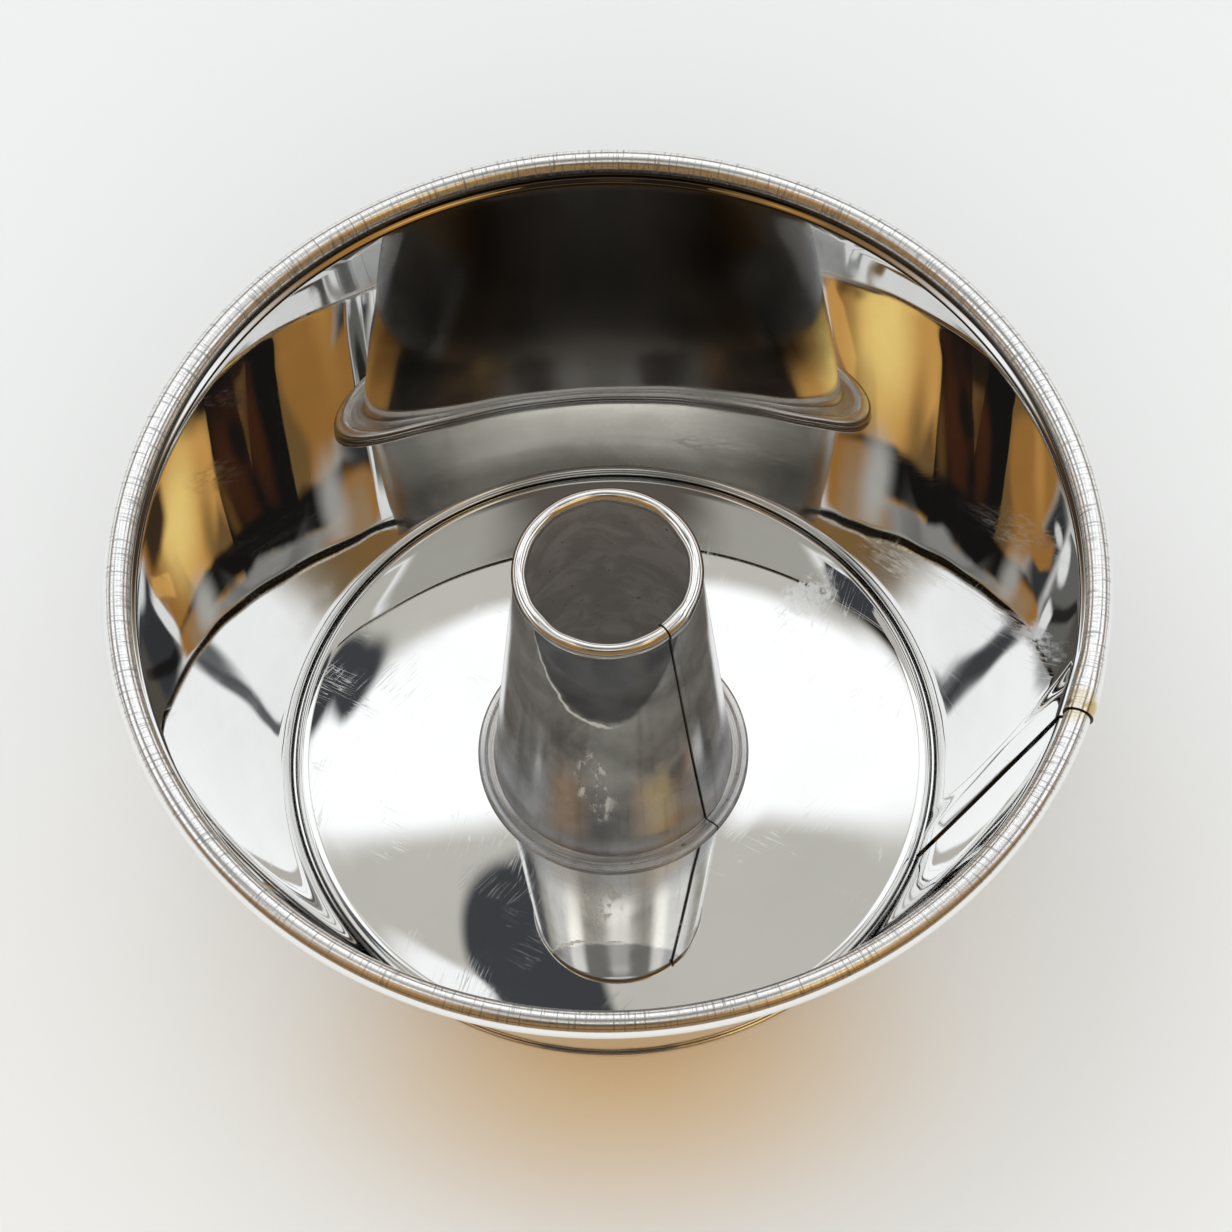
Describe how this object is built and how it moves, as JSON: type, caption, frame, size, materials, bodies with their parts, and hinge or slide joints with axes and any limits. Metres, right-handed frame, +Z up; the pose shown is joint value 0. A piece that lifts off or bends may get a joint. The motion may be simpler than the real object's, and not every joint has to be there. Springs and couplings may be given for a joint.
{
  "type": "angel food cake pan",
  "caption": "Flared round cake pan in tinplate with a wired rim, a lapped seam and a lift-out floor that carries a tapered centre tube.",
  "frame": {"origin": "centre of the base, on the table", "axes": "+Z up along the pan's axis; the front of the picture's view is at -Y and +X is to the right"},
  "size_m": [0.2032, 0.2032, 0.0868],
  "materials": {
    "bright_tinplate": "bright rolled tinplate, mirror-like with faint scratches",
    "dull_tinplate": "dull grey tinplate, hazed and stained",
    "wire": "drawn steel wire"
  },
  "bodies": {
    "pan": {"side_wall": "bright_tinplate", "rim_wire": "wire"},
    "insert": {"floor_disc": "bright_tinplate", "centre_tube": "dull_tinplate"}
  },
  "joints": [
    {"name": "insert_lift", "type": "slide", "parent": "pan", "child": "insert", "axis": [0, 0, 1], "range_m": [0, 0.1]}
  ]
}
